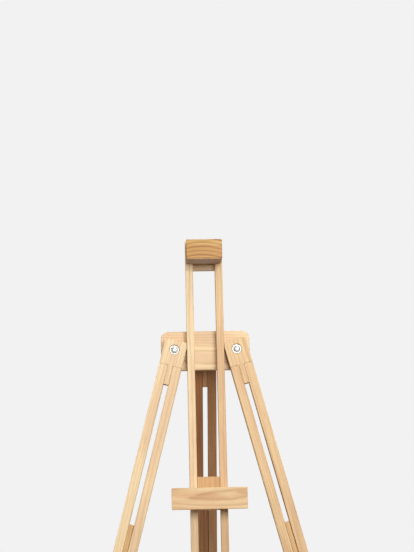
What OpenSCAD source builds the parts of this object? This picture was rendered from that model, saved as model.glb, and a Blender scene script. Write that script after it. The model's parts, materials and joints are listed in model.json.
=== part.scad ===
// Tripod display easel. Two beech rails form a slotted mast that leans back on two splayed
// front legs and one hinged rear leg. A picture shelf and a top holder slide on the mast, and
// each leg lengthens on a centre bar that is clamped by a steel band with a wing screw.
// Units are millimetres. +Z is up, the easel faces -Y, +X is to the right of somebody facing
// it, and the origin lies on the floor under the middle of the footprint.

/* [Stance] */
// height above the floor at which the shelf's seat meets the mast
seat_height = 870; // [820:10:930]
// angle that the mast leans back from upright, in degrees
lean = 10; // [8:0.5:12]
// angle that each front leg opens away from the mast, in degrees
splay = 14.7; // [13:0.1:16]

/* [Mast] */
// width across both rails
mast_w = 68.5; // [67:0.5:74]
// width of one rail, seen from the front
rail_w = 13.8; // [12:0.2:15]
// depth of one rail, front to back
rail_d = 20; // [19:0.5:22]
// rail length above the leg pivots
rail_above = 203; // [203:1:240]
// rail length below the leg pivots
rail_below = 650; // [560:10:700]

/* [Legs] */
// width of one leg strip, seen from the front
strip_w = 16.7; // [15:0.1:18]
// gap between the two strips, in which the centre bar slides
leg_gap = 9; // [9:0.5:11]
// depth of the leg, front to back
leg_d = 18; // [18:0.5:19]
// distance from the pivot to the lower end of the strips
strip_end = 880; // [840:10:900]
// length of a front leg's sliding centre bar
bar_len = 842; // [800:1:845]
// radius of the rubber foot
foot_r = 13; // [12.5:0.5:16]

/* [Picture shelf and top holder] */
// width of the shelf
shelf_w = 135.5; // [120:0.5:160]
// depth of the seat between the mast and the shelf's lip
seat_depth = 31.7; // [28:0.1:40]
// height of the lip board
lip_h = 38.5; // [35:0.5:50]
// part of the lip that stands above the seat
lip_rise = 10; // [6:1:14]
// width of the top holder's block
holder_block_w = 65.5; // [60:0.5:70]
// height of the top holder's block
holder_block_h = 35; // [30:1:45]
// how far the top holder's block stands out from the mast
holder_reach = 50; // [44:1:60]
// height of the picture that is held
picture_h = 425; // [418:1:425]

/* [Hidden] */
$fn = 64;
beech = "BurlyWood";
pale_beech = "NavajoWhite";
golden_beech = "Peru";
steel = "Silver";
rubber = "DimGray";
leather = "Sienna";

run_gap = 0.3; // between faces that slide past each other
slot_gap = 0.4; // between a guide and the rail beside it
pin_gap = 0.08; // radial gap of a leg or nut turning on its bolt
hole_gap = 0.05; // radial gap of a fixed bolt or screw
ease = 1; // eased edge of a rail or strip
over = 1; // overshoot of a cutting tool

// boards of the head
yoke_w = 164;
yoke_h = 72;
yoke_t = 18;
yoke_r = 14;
yoke_front = rail_d / 2;
yoke_back = yoke_front + yoke_t;
fold_gap = 2; // between a folded front leg and its rail
top_block_h = 22;
bottom_block_h = 40;
block_d = 18;
inner_w = mast_w - 2 * rail_w;
rail_mid = (mast_w - rail_w) / 2;

// bolts, washers and wing nuts
bolt_r = 3;
washer_t = 1.2;
washer_r = 9;
thin_washer_t = 0.9;
dome_r = 6.5;
dome_h = 3;
coach_r = 7.5;
coach_h = 3.4;
hub_r = 6;
hub_top_r = 4.8;
hub_h = 8;
wing_t = 2.4;
wing_tip = 15.1;
bolt_show = 2.5; // bolt end past its nut

// wood screws
screw_r = 1.8;
screw_head_r = 3.6;
screw_head_h = 2.4;
slot_w = 0.8;
slot_deep = 1;

// legs
leg_w = 2 * strip_w + leg_gap;
leg_y = -0.2;
head_low = 30; // strips start this far below the pivot
head_top = 18;
head_r = 6;
tongue_low = 66;
recess_r = 9;
recess_deep = 4.7;
groove_deep = 4;
groove_h = 6.8;
groove_top = 70;
bar_w = leg_gap - 1.4;
bar_left = -leg_gap / 2 + run_gap;
bar_d = leg_d - 1;
bar_tongue = leg_gap / 2 + groove_deep - 0.5;
bar_tongue_h = 6;
rear_bar_extra = 10; // the rear leg's bar is this much longer
foot_h = 26;
socket_low = 4;
head_screw_len = 22;
band_t = 1.2;
band_h = 24;
band_low = strip_end - 4;
band_mid = band_low - band_h / 2;
band_screw_r = 1.2;
band_screw_len = 8;
band_dome_r = 2.6;
band_dome_h = 1.3;
band_screw_x = leg_gap / 2 + strip_w / 2;
boss_r = 5.5;
boss_h = 5;
clamp_r = 2.5;
clamp_len = 9;

// rear hinge
bracket_t = 2;
bracket_h = 44;
ear_r = 13;
ear_gap = 0.4;
ear_in = leg_w / 2 + ear_gap;
ear_out = ear_in + bracket_t;
rear_pin_y = yoke_back + 20;
rear_head_top = 24;
rear_head_r = 24.5;
stop_gap = 0.4; // left at each leg's stop
bracket_screw = 15;

// shelf and holder, measured from the seat or from the holder's underside
tray_t = 8;
lip_t = 11;
board_r = 1.6;
carrier_w = 64;
carrier_d = 25.7;
guide_back = 8;
shelf_guide_top = 31;
shelf_bolt_z = -18.5;
shelf_plate_top = 11;
plate_w = 64;
plate_t = 10;
plate_r = 5;
dowel_r = 2.5;
dowel_x = 50;
dowel_in = 7;
tray_screw_x = 24;
tray_screw_len = 22;
holder_bolt_z = 9.5;
holder_guide_z = 0.5;
holder_guide_h = 18;
holder_plate_h = 40;
stud_in = 26;
pad_t = 2;
pad_inset = 0.8; // bare edge of the block around its pad

slide_face = rail_d / 2 + run_gap;
guide_w = inner_w - 2 * slot_gap;
plate_back = slide_face + plate_t;

// positions along the mast, measured up its centre plane from the floor
pivot_rise = 264;
seat_w = seat_height / cos(lean);
pivot_w = seat_w + pivot_rise;
holder_w = seat_w + picture_h;
rail_top = pivot_w + rail_above;
rail_bottom = pivot_w - rail_below;
pivot_x = mast_w / 2 + fold_gap + leg_w / 2;

// the legs reach far enough for every foot to stand on the floor
foot_w = (foot_r + leg_y * sin(lean)) / cos(lean);
leg_reach = (pivot_w - foot_w) / cos(splay);
pin_y = rear_pin_y * cos(lean) + pivot_w * sin(lean);
pin_z = pivot_w * cos(lean) - rear_pin_y * sin(lean);
rear_angle = acos((pin_z - foot_r) / leg_reach);
front_edge = leg_y * cos(lean) + foot_w * sin(lean) - foot_r;
rear_edge = pin_y + leg_reach * sin(rear_angle) + foot_r;
mast_y = -(front_edge + rear_edge) / 2;

// ---- placing ----

// the mast's own frame: z runs up the rails, y points to the back
module on_mast() translate([0, mast_y, 0]) rotate([-lean, 0, 0]) children();

// a front leg's frame at its pivot; side is -1 for left and 1 for right
module on_front_leg(side)
    on_mast() translate([side * pivot_x, leg_y, pivot_w]) rotate([0, -side * splay, 0])
        children();

module on_rear_leg()
    translate([0, mast_y + pin_y, pin_z]) rotate([rear_angle, 0, 0]) children();

module on_shelf() on_mast() translate([0, 0, seat_w]) children();

module on_holder() on_mast() translate([0, 0, holder_w]) children();

// mirrors a piece to the left when side is negative
module flip(side) {
    if (side < 0) mirror([1, 0, 0]) children();
    else children();
}

module face_right() rotate([0, 90, 0]) children();

module face_back() rotate([-90, 0, 0]) children();

module face_front() rotate([90, 0, 0]) children();

// ---- outlines ----

module eased_rect(w, d)
    polygon([[ease, 0], [w - ease, 0], [w, ease], [w, d - ease],
             [w - ease, d], [ease, d], [0, d - ease], [0, ease]]);

module rounded_rect(w, h, r) {
    translate([r, 0]) square([w - 2 * r, h]);
    translate([0, r]) square([w, h - 2 * r]);
    for (x = [r, w - r], y = [r, h - r]) translate([x, y]) circle(r = r);
}

// a board whose outline is seen from the front; its front face is at y = 0
module front_board(w, h, t, r)
    translate([-w / 2, t, 0]) face_front() linear_extrude(t) rounded_rect(w, h, r);

module centred_box(w, d, h) translate([-w / 2, 0, 0]) cube([w, d, h]);

// ---- fasteners, each with its axis along z and its head at the top ----

module wood_screw(len) {
    difference() {
        union() {
            translate([0, 0, -len]) cylinder(h = len, r = screw_r);
            translate([0, 0, -screw_head_h])
                cylinder(h = screw_head_h, r1 = screw_r, r2 = screw_head_r);
        }
        for (turn = [0, 90]) rotate(turn)
            translate([-screw_head_r + over, -slot_w / 2, -slot_deep])
                cube([2 * (screw_head_r - over), slot_w, slot_deep + over]);
    }
}

module screw_hole(len) {
    translate([0, 0, -len - hole_gap]) cylinder(h = len + over, r = screw_r + hole_gap);
    translate([0, 0, -screw_head_h]) cylinder(
        h = screw_head_h + hole_gap, r1 = screw_r + hole_gap, r2 = screw_head_r + hole_gap);
}

module dome(r, h) {
    ball = (r * r + h * h) / (2 * h);
    intersection() {
        translate([0, 0, h - ball]) sphere(r = ball);
        cylinder(h = h, r = r);
    }
}

module dome_bolt(r, h, len) {
    dome(r, h);
    translate([0, 0, -len]) cylinder(h = len, r = bolt_r);
}

module washer(r, t) difference() {
    cylinder(h = t, r = r);
    translate([0, 0, -over]) cylinder(h = t + 2 * over, r = bolt_r + hole_gap);
}

module wing() face_front() translate([0, 0, -wing_t / 2]) linear_extrude(wing_t) {
    polygon([[2, 1], [6, 0.8], [14, 7.6], [8.4, 12.8], [2, 7]]);
    translate([wing_tip - 4, 10.4]) circle(r = 4);
}

module wing_body() {
    cylinder(h = hub_h, r1 = hub_r, r2 = hub_top_r);
    wing();
    mirror([1, 0, 0]) wing();
}

module wing_nut(turn) rotate(turn) difference() {
    wing_body();
    translate([0, 0, -over]) cylinder(h = hub_h + 3 * over, r = bolt_r + pin_gap);
}

// ---- mast and yoke ----

module yoke_screw_places()
    for (side = [-1, 1], z = [-24, 24])
        translate([side * rail_mid, yoke_back, pivot_w + z]) face_back() children();

module block_screw_places()
    for (side = [-1, 1], w = [rail_top - 11, rail_bottom + 12, rail_bottom + 28])
        flip(side) translate([mast_w / 2, 0, w]) face_right() children();

yoke_screw_len = 34;
block_screw_len = 26;

module mast_rail(side) on_mast() difference() {
    flip(side) translate([mast_w / 2 - rail_w, -rail_d / 2, rail_bottom])
        linear_extrude(rail_top - rail_bottom) eased_rect(rail_w, rail_d);
    yoke_screw_places() screw_hole(yoke_screw_len);
    block_screw_places() screw_hole(block_screw_len);
}

module mast_rail_left() color(beech) mast_rail(-1);

module mast_rail_right() color(beech) mast_rail(1);

module mast_spacer(low, h) on_mast() difference() {
    translate([0, -block_d / 2, low]) centred_box(inner_w, block_d, h);
    block_screw_places() screw_hole(block_screw_len);
}

module mast_top_block() color(beech) mast_spacer(rail_top - top_block_h, top_block_h);

module mast_bottom_block() color(beech) mast_spacer(rail_bottom, bottom_block_h);

module mast_block_screws() color(steel)
    on_mast() block_screw_places() wood_screw(block_screw_len);

module bracket_screw_places()
    for (x = [-1, 1], z = [-1, 1])
        translate([x * bracket_screw, yoke_back + bracket_t, pivot_w + z * bracket_screw])
            face_back() children();

bracket_screw_len = 14;

module yoke_board() color(beech) on_mast() difference() {
    translate([0, yoke_front, pivot_w - yoke_h / 2])
        front_board(yoke_w, yoke_h, yoke_t, yoke_r);
    yoke_screw_places() screw_hole(yoke_screw_len);
    bracket_screw_places() screw_hole(bracket_screw_len);
    for (side = [-1, 1]) translate([side * pivot_x, yoke_front - over, pivot_w])
        face_back() cylinder(h = yoke_t + 2 * over, r = bolt_r + hole_gap);
}

module yoke_screws() color(steel) on_mast() yoke_screw_places() wood_screw(yoke_screw_len);

// the bolt heads and front washers lie in a recess of the leg heads, below the rails' face
front_washer_y = leg_y - leg_d / 2 + recess_deep - slot_gap - 1;
pivot_nut_y = yoke_back + washer_t + run_gap;

module leg_pivot_bolts() color(steel) on_mast() for (side = [-1, 1])
    translate([side * pivot_x, front_washer_y, pivot_w]) face_front()
        dome_bolt(dome_r, dome_h, pivot_nut_y + hub_h + bolt_show - front_washer_y);

module leg_pivot_washers() color(steel) on_mast() for (side = [-1, 1])
    translate([side * pivot_x, 0, pivot_w]) face_back() {
        translate([0, 0, front_washer_y]) washer(washer_r - 1, 1);
        translate([0, 0, yoke_front - thin_washer_t]) washer(washer_r, thin_washer_t);
        translate([0, 0, yoke_back]) washer(washer_r, washer_t);
    }

module pivot_wing_nut(side, turn) on_mast()
    translate([side * pivot_x, pivot_nut_y, pivot_w]) face_back() wing_nut(turn);

module left_pivot_wing_nut() color(steel) pivot_wing_nut(-1, 35);

module right_pivot_wing_nut() color(steel) pivot_wing_nut(1, -50);

// ---- rear hinge ----

module ear_outline() {
    polygon([[yoke_back, -bracket_h / 2], [yoke_back, bracket_h / 2],
             [rear_pin_y, ear_r - 1], [rear_pin_y, 1 - ear_r]]);
    translate([rear_pin_y, 0]) circle(r = ear_r);
}

module rear_hinge_bracket() color(steel) on_mast() difference() {
    union() {
        translate([0, yoke_back, pivot_w - bracket_h / 2])
            centred_box(2 * ear_out, bracket_t, bracket_h);
        for (side = [-1, 1]) flip(side) translate([ear_in, 0, pivot_w])
            rotate([90, 0, 90]) linear_extrude(bracket_t) ear_outline();
    }
    bracket_screw_places() screw_hole(bracket_screw_len);
    translate([-ear_out - over, rear_pin_y, pivot_w]) face_right()
        cylinder(h = 2 * (ear_out + over), r = bolt_r + hole_gap);
}

module rear_hinge_screws() color(steel)
    on_mast() bracket_screw_places() wood_screw(bracket_screw_len);

hex_r = 5.5;
hex_h = 4;
rear_nut_x = ear_out + washer_t + run_gap;

module rear_hinge_bolt() color(steel) on_mast()
    translate([-ear_out, rear_pin_y, pivot_w]) face_right() {
        cylinder(h = ear_out + rear_nut_x + hub_h + bolt_show, r = bolt_r);
        translate([0, 0, -hex_h]) cylinder(h = hex_h, r = hex_r, $fn = 6);
        translate([0, 0, 2 * ear_out]) washer(washer_r, washer_t);
    }

module rear_hinge_wing_nut() color(steel) on_mast()
    translate([rear_nut_x, rear_pin_y, pivot_w]) face_right() wing_nut(20);

// ---- legs: each frame has its origin at the pivot and z up the leg ----

function head_screw_z(side) = side > 0 ? 42 : 56;

module head_screw_places()
    for (side = [-1, 1])
        flip(side) translate([leg_w / 2, 0, -head_screw_z(side)]) face_right() children();

module leg_tongue() translate([-leg_gap / 2, -leg_d / 2, -tongue_low])
    cube([leg_gap, leg_d, tongue_low - head_low + over]);

module front_head() difference() {
    union() {
        translate([0, -leg_d / 2, -head_low])
            front_board(leg_w, head_low + head_top, leg_d, head_r);
        translate([0, -leg_d / 2, -head_low]) centred_box(leg_w, leg_d, head_low);
        leg_tongue();
    }
    translate([0, -leg_d / 2 - over, 0]) face_back() {
        cylinder(h = leg_d + 2 * over, r = bolt_r + pin_gap);
        cylinder(h = recess_deep + over, r = recess_r);
    }
    head_screw_places() screw_hole(head_screw_len);
}

// the head's inner top corner is cut flat, so that it stops the open leg against the rail
module stopped_front_head(side) difference() {
    on_front_leg(side) front_head();
    on_mast() translate([0, -rail_d, pivot_w - yoke_h])
        centred_box(mast_w + 2 * stop_gap, 2 * rail_d, 2 * yoke_h);
}

module rear_head() difference() {
    union() {
        intersection() {
            translate([0, -leg_d / 2, -head_low])
                centred_box(leg_w, leg_d, head_low + rear_head_top);
            union() {
                translate([-leg_w, 0, 0]) face_right()
                    cylinder(h = 2 * leg_w, r = rear_head_r);
                translate([0, -leg_d, -2 * head_low]) centred_box(leg_w, 2 * leg_d, 2 * head_low);
            }
        }
        leg_tongue();
    }
    translate([-leg_w, 0, 0]) face_right() cylinder(h = 2 * leg_w, r = bolt_r + pin_gap);
    head_screw_places() screw_hole(head_screw_len);
}

// the rear head stops against the hinge bracket's base
module stopped_rear_head() difference() {
    on_rear_leg() rear_head();
    on_mast() translate([0, -rail_d, pivot_w - yoke_h])
        centred_box(2 * leg_w, rail_d + yoke_back + bracket_t + stop_gap, 2 * yoke_h);
}

module band_screw_places()
    for (x = [-1, 1], y = [-1, 1])
        translate([x * band_screw_x, y * (leg_d / 2 + band_t), -band_mid])
            rotate([-y * 90, 0, 0]) children();

module band_screw_hole() translate([0, 0, -band_screw_len - hole_gap])
    cylinder(h = band_screw_len + over, r = band_screw_r + hole_gap);

module strip_section() difference() {
    translate([leg_gap / 2, -leg_d / 2]) eased_rect(strip_w, leg_d);
    translate([leg_gap / 2 - over, -groove_h / 2]) square([groove_deep + over, groove_h]);
}

module leg_strip(side) difference() {
    flip(side) {
        translate([0, 0, -strip_end]) linear_extrude(strip_end - groove_top)
            strip_section();
        translate([leg_gap / 2, -leg_d / 2, -groove_top])
            linear_extrude(groove_top - head_low) eased_rect(strip_w, leg_d);
    }
    head_screw_places() screw_hole(head_screw_len);
    band_screw_places() band_screw_hole();
}

module leg_head_screws() head_screw_places() wood_screw(head_screw_len);

module leg_band(side) difference() {
    union() {
        translate([0, -leg_d / 2 - band_t, -band_low])
            centred_box(leg_w + 2 * band_t, leg_d + 2 * band_t, band_h);
        flip(side) translate([leg_w / 2, 0, -band_mid]) face_right()
            cylinder(h = band_t + boss_h, r = boss_r);
    }
    translate([0, -leg_d / 2, -band_low - over])
        centred_box(leg_w, leg_d, band_h + 2 * over);
    flip(side) translate([0, 0, -band_mid]) face_right()
        cylinder(h = leg_w, r = clamp_r + pin_gap);
    band_screw_places() band_screw_hole();
}

module leg_band_screws() band_screw_places() difference() {
    union() {
        dome(band_dome_r, band_dome_h);
        translate([0, 0, -band_screw_len]) cylinder(h = band_screw_len, r = band_screw_r);
    }
    translate([-band_dome_r, -slot_w / 2, band_dome_h / 2])
        cube([2 * band_dome_r, slot_w, band_dome_h]);
}

module leg_wing_screw(side, turn) flip(side)
    translate([leg_w / 2 + run_gap, 0, -band_mid]) face_right() rotate(turn) {
        cylinder(h = clamp_len + hub_h / 2, r = clamp_r);
        translate([0, 0, clamp_len]) wing_body();
    }

module bar_section() {
    translate([bar_left, -bar_d / 2]) square([bar_w, bar_d]);
    translate([-bar_tongue, -bar_tongue_h / 2]) square([2 * bar_tongue, bar_tongue_h]);
}

module extension_bar(length) translate([0, 0, socket_low - leg_reach])
    linear_extrude(length) bar_section();

module foot() translate([0, 0, -leg_reach]) difference() {
    rotate_extrude() {
        intersection() {
            circle(r = foot_r);
            translate([0, -foot_r]) square([foot_r, foot_r]);
        }
        square([foot_r, foot_h]);
    }
    translate([0, 0, socket_low]) linear_extrude(foot_h) bar_section();
}

module left_leg_head() color(beech) stopped_front_head(-1);

module left_leg_outer_strip() color(beech) on_front_leg(-1) leg_strip(-1);

module left_leg_inner_strip() color(beech) on_front_leg(-1) leg_strip(1);

module left_leg_head_screws() color(steel) on_front_leg(-1) leg_head_screws();

module left_leg_band() color(steel) on_front_leg(-1) leg_band(-1);

module left_leg_band_screws() color(steel) on_front_leg(-1) leg_band_screws();

module left_leg_wing_screw() color(steel) on_front_leg(-1) leg_wing_screw(-1, 25);

module left_extension_bar() color(beech) on_front_leg(-1) extension_bar(bar_len);

module left_foot() color(rubber) on_front_leg(-1) foot();

module right_leg_head() color(beech) stopped_front_head(1);

module right_leg_outer_strip() color(beech) on_front_leg(1) leg_strip(1);

module right_leg_inner_strip() color(beech) on_front_leg(1) leg_strip(-1);

module right_leg_head_screws() color(steel) on_front_leg(1) leg_head_screws();

module right_leg_band() color(steel) on_front_leg(1) leg_band(1);

module right_leg_band_screws() color(steel) on_front_leg(1) leg_band_screws();

module right_leg_wing_screw() color(steel) on_front_leg(1) leg_wing_screw(1, -15);

module right_extension_bar() color(beech) on_front_leg(1) extension_bar(bar_len);

module right_foot() color(rubber) on_front_leg(1) foot();

module rear_leg_head() color(beech) stopped_rear_head();

module rear_leg_left_strip() color(beech) on_rear_leg() leg_strip(-1);

module rear_leg_right_strip() color(beech) on_rear_leg() leg_strip(1);

module rear_leg_head_screws() color(steel) on_rear_leg() leg_head_screws();

module rear_leg_band() color(steel) on_rear_leg() leg_band(1);

module rear_leg_band_screws() color(steel) on_rear_leg() leg_band_screws();

module rear_leg_wing_screw() color(steel) on_rear_leg() leg_wing_screw(1, 60);

module rear_extension_bar() color(beech) on_rear_leg() extension_bar(bar_len + rear_bar_extra);

module rear_foot() color(rubber) on_rear_leg() foot();

// ---- clamp behind the mast, shared by the shelf and the holder ----

clamp_nut_y = plate_back + washer_t + run_gap;

module clamp_plate(low, h, bolt_z) difference() {
    translate([0, slide_face, low]) front_board(plate_w, h, plate_t, plate_r);
    through_hole(bolt_z);
}

module through_hole(bolt_z) translate([0, -holder_reach, bolt_z]) face_back()
    cylinder(h = 2 * holder_reach, r = bolt_r + hole_gap);

module clamp_washer(bolt_z)
    translate([0, plate_back, bolt_z]) face_back() washer(washer_r, washer_t);

module clamp_nut(bolt_z, turn)
    translate([0, clamp_nut_y, bolt_z]) face_back() wing_nut(turn);

module guide(low, h, bolt_z) difference() {
    translate([0, -slide_face, low]) centred_box(guide_w, slide_face + guide_back, h);
    through_hole(bolt_z);
}

// ---- picture shelf: z is 0 at the seat ----

tray_front = -slide_face - seat_depth;
lip_low = lip_rise - lip_h;

module dowel_places()
    for (side = [-1, 1]) translate([side * dowel_x, tray_front, -tray_t / 2])
        face_back() children();

module tray_screw_places()
    for (side = [-1, 1]) translate([side * tray_screw_x, -slide_face - carrier_d / 2, 0])
        children();

module dowel_hole() translate([0, 0, -dowel_in - hole_gap])
    cylinder(h = 2 * (dowel_in + hole_gap), r = dowel_r + hole_gap);

module shelf_lip() color(pale_beech) on_shelf() difference() {
    translate([0, tray_front - lip_t, lip_low]) front_board(shelf_w, lip_h, lip_t, board_r);
    dowel_places() dowel_hole();
}

module shelf_tray() color(pale_beech) on_shelf() difference() {
    translate([0, tray_front, -tray_t]) centred_box(shelf_w, seat_depth, tray_t);
    dowel_places() dowel_hole();
    tray_screw_places() screw_hole(tray_screw_len);
}

module shelf_dowels() color(beech) on_shelf() dowel_places()
    translate([0, 0, -dowel_in]) cylinder(h = 2 * dowel_in, r = dowel_r);

module shelf_carrier() color(beech) on_shelf() difference() {
    translate([0, -slide_face - carrier_d, lip_low])
        centred_box(carrier_w, carrier_d, -tray_t - lip_low);
    through_hole(shelf_bolt_z);
    tray_screw_places() screw_hole(tray_screw_len);
}

module shelf_guide() color(beech)
    on_shelf() guide(lip_low, shelf_guide_top - lip_low, shelf_bolt_z);

module shelf_screws() color(steel) on_shelf() tray_screw_places() wood_screw(tray_screw_len);

module shelf_bolt() color(steel) on_shelf()
    translate([0, -slide_face - carrier_d, shelf_bolt_z]) face_front() dome_bolt(
        coach_r, coach_h, slide_face + carrier_d + clamp_nut_y + hub_h + bolt_show);

module shelf_clamp_plate() color(beech)
    on_shelf() clamp_plate(lip_low, shelf_plate_top - lip_low, shelf_bolt_z);

module shelf_washer() color(steel) on_shelf() clamp_washer(shelf_bolt_z);

module shelf_wing_nut() color(steel) on_shelf() clamp_nut(shelf_bolt_z, 15);

// ---- top holder: z is 0 at the block's underside ----

module holder_block() color(golden_beech) on_holder() difference() {
    translate([0, -slide_face - holder_reach, 0])
        front_board(holder_block_w, holder_block_h, holder_reach, board_r);
    translate([0, -slide_face - stud_in, holder_bolt_z]) face_back()
        cylinder(h = stud_in + over, r = bolt_r + hole_gap);
}

module holder_pad() color(leather) on_holder()
    translate([0, pad_inset - slide_face - holder_reach, -pad_t])
        centred_box(holder_block_w - 2 * pad_inset, holder_reach - 2 * pad_inset, pad_t);

module holder_guide() color(beech)
    on_holder() guide(holder_guide_z, holder_guide_h, holder_bolt_z);

module holder_stud() color(steel) on_holder()
    translate([0, -slide_face - stud_in, holder_bolt_z]) face_back()
        cylinder(h = slide_face + stud_in + clamp_nut_y + hub_h + bolt_show, r = bolt_r);

module holder_clamp_plate() color(beech) on_holder() clamp_plate(
    holder_bolt_z - holder_plate_h / 2, holder_plate_h, holder_bolt_z);

module holder_washer() color(steel) on_holder() clamp_washer(holder_bolt_z);

module holder_wing_nut() color(steel) on_holder() clamp_nut(holder_bolt_z, -40);

// ---- the easel ----

mast_rail_left();
mast_rail_right();
mast_top_block();
mast_bottom_block();
mast_block_screws();
yoke_board();
yoke_screws();
leg_pivot_bolts();
leg_pivot_washers();
rear_hinge_bracket();
rear_hinge_screws();
rear_hinge_bolt();
left_pivot_wing_nut();
right_pivot_wing_nut();
rear_hinge_wing_nut();
left_leg_head();
left_leg_outer_strip();
left_leg_inner_strip();
left_leg_head_screws();
left_leg_band();
left_leg_band_screws();
left_leg_wing_screw();
left_extension_bar();
left_foot();
right_leg_head();
right_leg_outer_strip();
right_leg_inner_strip();
right_leg_head_screws();
right_leg_band();
right_leg_band_screws();
right_leg_wing_screw();
right_extension_bar();
right_foot();
rear_leg_head();
rear_leg_left_strip();
rear_leg_right_strip();
rear_leg_head_screws();
rear_leg_band();
rear_leg_band_screws();
rear_leg_wing_screw();
rear_extension_bar();
rear_foot();
shelf_lip();
shelf_tray();
shelf_dowels();
shelf_carrier();
shelf_guide();
shelf_screws();
shelf_bolt();
shelf_clamp_plate();
shelf_washer();
shelf_wing_nut();
holder_block();
holder_pad();
holder_guide();
holder_stud();
holder_clamp_plate();
holder_washer();
holder_wing_nut();
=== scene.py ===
"""The looks of a tripod display easel: beech, steel, leather and rubber on its CAD frame."""

import json
import math
import random

import bpy
import numpy as np
from mathutils import Euler, Matrix, Vector


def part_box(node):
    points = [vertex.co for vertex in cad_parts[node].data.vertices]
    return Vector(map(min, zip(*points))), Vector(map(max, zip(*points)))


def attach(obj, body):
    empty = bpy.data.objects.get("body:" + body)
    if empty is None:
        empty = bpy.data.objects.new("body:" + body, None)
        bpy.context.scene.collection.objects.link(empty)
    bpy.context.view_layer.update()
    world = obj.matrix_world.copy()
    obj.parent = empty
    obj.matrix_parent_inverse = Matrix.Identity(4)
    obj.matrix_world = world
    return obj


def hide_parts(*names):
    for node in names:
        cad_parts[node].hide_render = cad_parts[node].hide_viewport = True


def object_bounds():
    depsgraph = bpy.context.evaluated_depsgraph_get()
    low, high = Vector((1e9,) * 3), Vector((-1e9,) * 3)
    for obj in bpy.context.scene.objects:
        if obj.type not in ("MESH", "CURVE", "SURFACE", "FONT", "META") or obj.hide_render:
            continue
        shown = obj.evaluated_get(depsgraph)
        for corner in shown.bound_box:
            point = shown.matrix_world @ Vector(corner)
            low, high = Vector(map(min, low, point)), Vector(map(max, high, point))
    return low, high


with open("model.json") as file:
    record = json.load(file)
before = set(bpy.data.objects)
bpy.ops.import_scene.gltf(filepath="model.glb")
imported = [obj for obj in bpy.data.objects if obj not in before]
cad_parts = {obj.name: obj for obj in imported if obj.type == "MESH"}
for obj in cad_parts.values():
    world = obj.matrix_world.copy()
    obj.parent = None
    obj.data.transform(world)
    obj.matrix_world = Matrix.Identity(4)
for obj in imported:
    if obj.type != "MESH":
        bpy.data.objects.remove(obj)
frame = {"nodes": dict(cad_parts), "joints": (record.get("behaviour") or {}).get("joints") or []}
cad_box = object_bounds()

MM = 0.001
NODES = frame["nodes"]
JOINTS = {joint["name"]: joint for joint in frame["joints"]}

UP = Vector(JOINTS["shelf_slide"]["axis"])
BACK = Vector(JOINTS["shelf_nut_turn"]["axis"])
RIGHT = Vector((1, 0, 0))
LEG_DOWN = {leg: Vector(JOINTS[f"{leg}_leg_extend"]["axis"]) for leg in ("left", "right", "rear")}


# ---- material graphs ----


class Graph:
    """One material's nodes, written as expressions: each method adds a node and returns its output."""

    def __init__(self, name):
        self.material = bpy.data.materials.new(name)
        self.material.use_nodes = True
        self.tree = self.material.node_tree
        self.shader = self.tree.nodes["Principled BSDF"]

    def plug(self, socket, value):
        if isinstance(value, bpy.types.NodeSocket):
            self.tree.links.new(value, socket)
        else:
            socket.default_value = value

    def add(self, kind, inputs, **settings):
        node = self.tree.nodes.new("ShaderNode" + kind)
        for key, value in settings.items():
            setattr(node, key, value)
        for key, value in inputs.items():
            self.plug(node.inputs[key], value)
        return node

    def math(self, operation, *values, clamp=False):
        inputs = dict(enumerate(values))
        return self.add("Math", inputs, operation=operation, use_clamp=clamp).outputs[0]

    def vector(self, operation, *values):
        return self.add("VectorMath", dict(enumerate(values)), operation=operation)

    def dot(self, a, b):
        return self.vector("DOT_PRODUCT", a, tuple(b)).outputs["Value"]

    def combine(self, x, y, z):
        return self.add("CombineXYZ", {0: x, 1: y, 2: z}).outputs[0]

    def scaled(self, point, factors):
        return self.vector("MULTIPLY", point, factors).outputs[0]

    def noise(self, point, factors, detail=2.0, roughness=0.5):
        inputs = {"Vector": self.scaled(point, factors), "Scale": 1.0}
        return self.add("TexNoise", {**inputs, "Detail": detail, "Roughness": roughness})

    def cells(self, point, factors):
        return self.add("TexVoronoi", {"Vector": self.scaled(point, factors), "Scale": 1.0})

    def step(self, value, low, high, to_low=0.0, to_high=1.0):
        """Smooth step from to_low below `low` to to_high above `high`."""
        inputs = {0: value, 1: low, 2: high, 3: to_low, 4: to_high}
        return self.add("MapRange", inputs, interpolation_type="SMOOTHSTEP").outputs[0]

    def curve(self, value, stops):
        """A smooth curve through the stops, each a place and a level from 0 to 1."""
        node = self.add("ValToRGB", {0: value})
        ramp = node.color_ramp
        ramp.interpolation = "B_SPLINE"
        while len(ramp.elements) < len(stops):
            ramp.elements.new(1.0)
        for element, (place, level) in zip(ramp.elements, stops):
            element.position = place
            element.color = (level, level, level, 1)
        return node.outputs[0]

    def blend(self, factor, a, b, kind="MIX"):
        node = self.add("Mix", {0: factor}, data_type="RGBA", blend_type=kind)
        self.plug(node.inputs[6], a)
        self.plug(node.inputs[7], b)
        return node.outputs[2]

    def edges(self, radius):
        """1 along convex and concave edges, 0 on flat faces."""
        soft = self.add("Bevel", {"Radius": radius}, samples=6).outputs[0]
        plain = self.add("NewGeometry", {}).outputs["Normal"]
        likeness = self.vector("DOT_PRODUCT", soft, plain).outputs["Value"]
        return self.step(likeness, 0.995, 0.90)

    def bump(self, height, strength, depth):
        inputs = {"Height": height, "Strength": strength, "Distance": depth}
        self.plug(self.shader.inputs["Normal"], self.add("Bump", inputs).outputs[0])

    def place(self):
        return self.add("TexCoord", {}).outputs["Object"]

    def facing(self):
        return self.add("TexCoord", {}).outputs["Normal"]


def rgb(r, g, b):
    return (r, g, b, 1.0)


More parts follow.
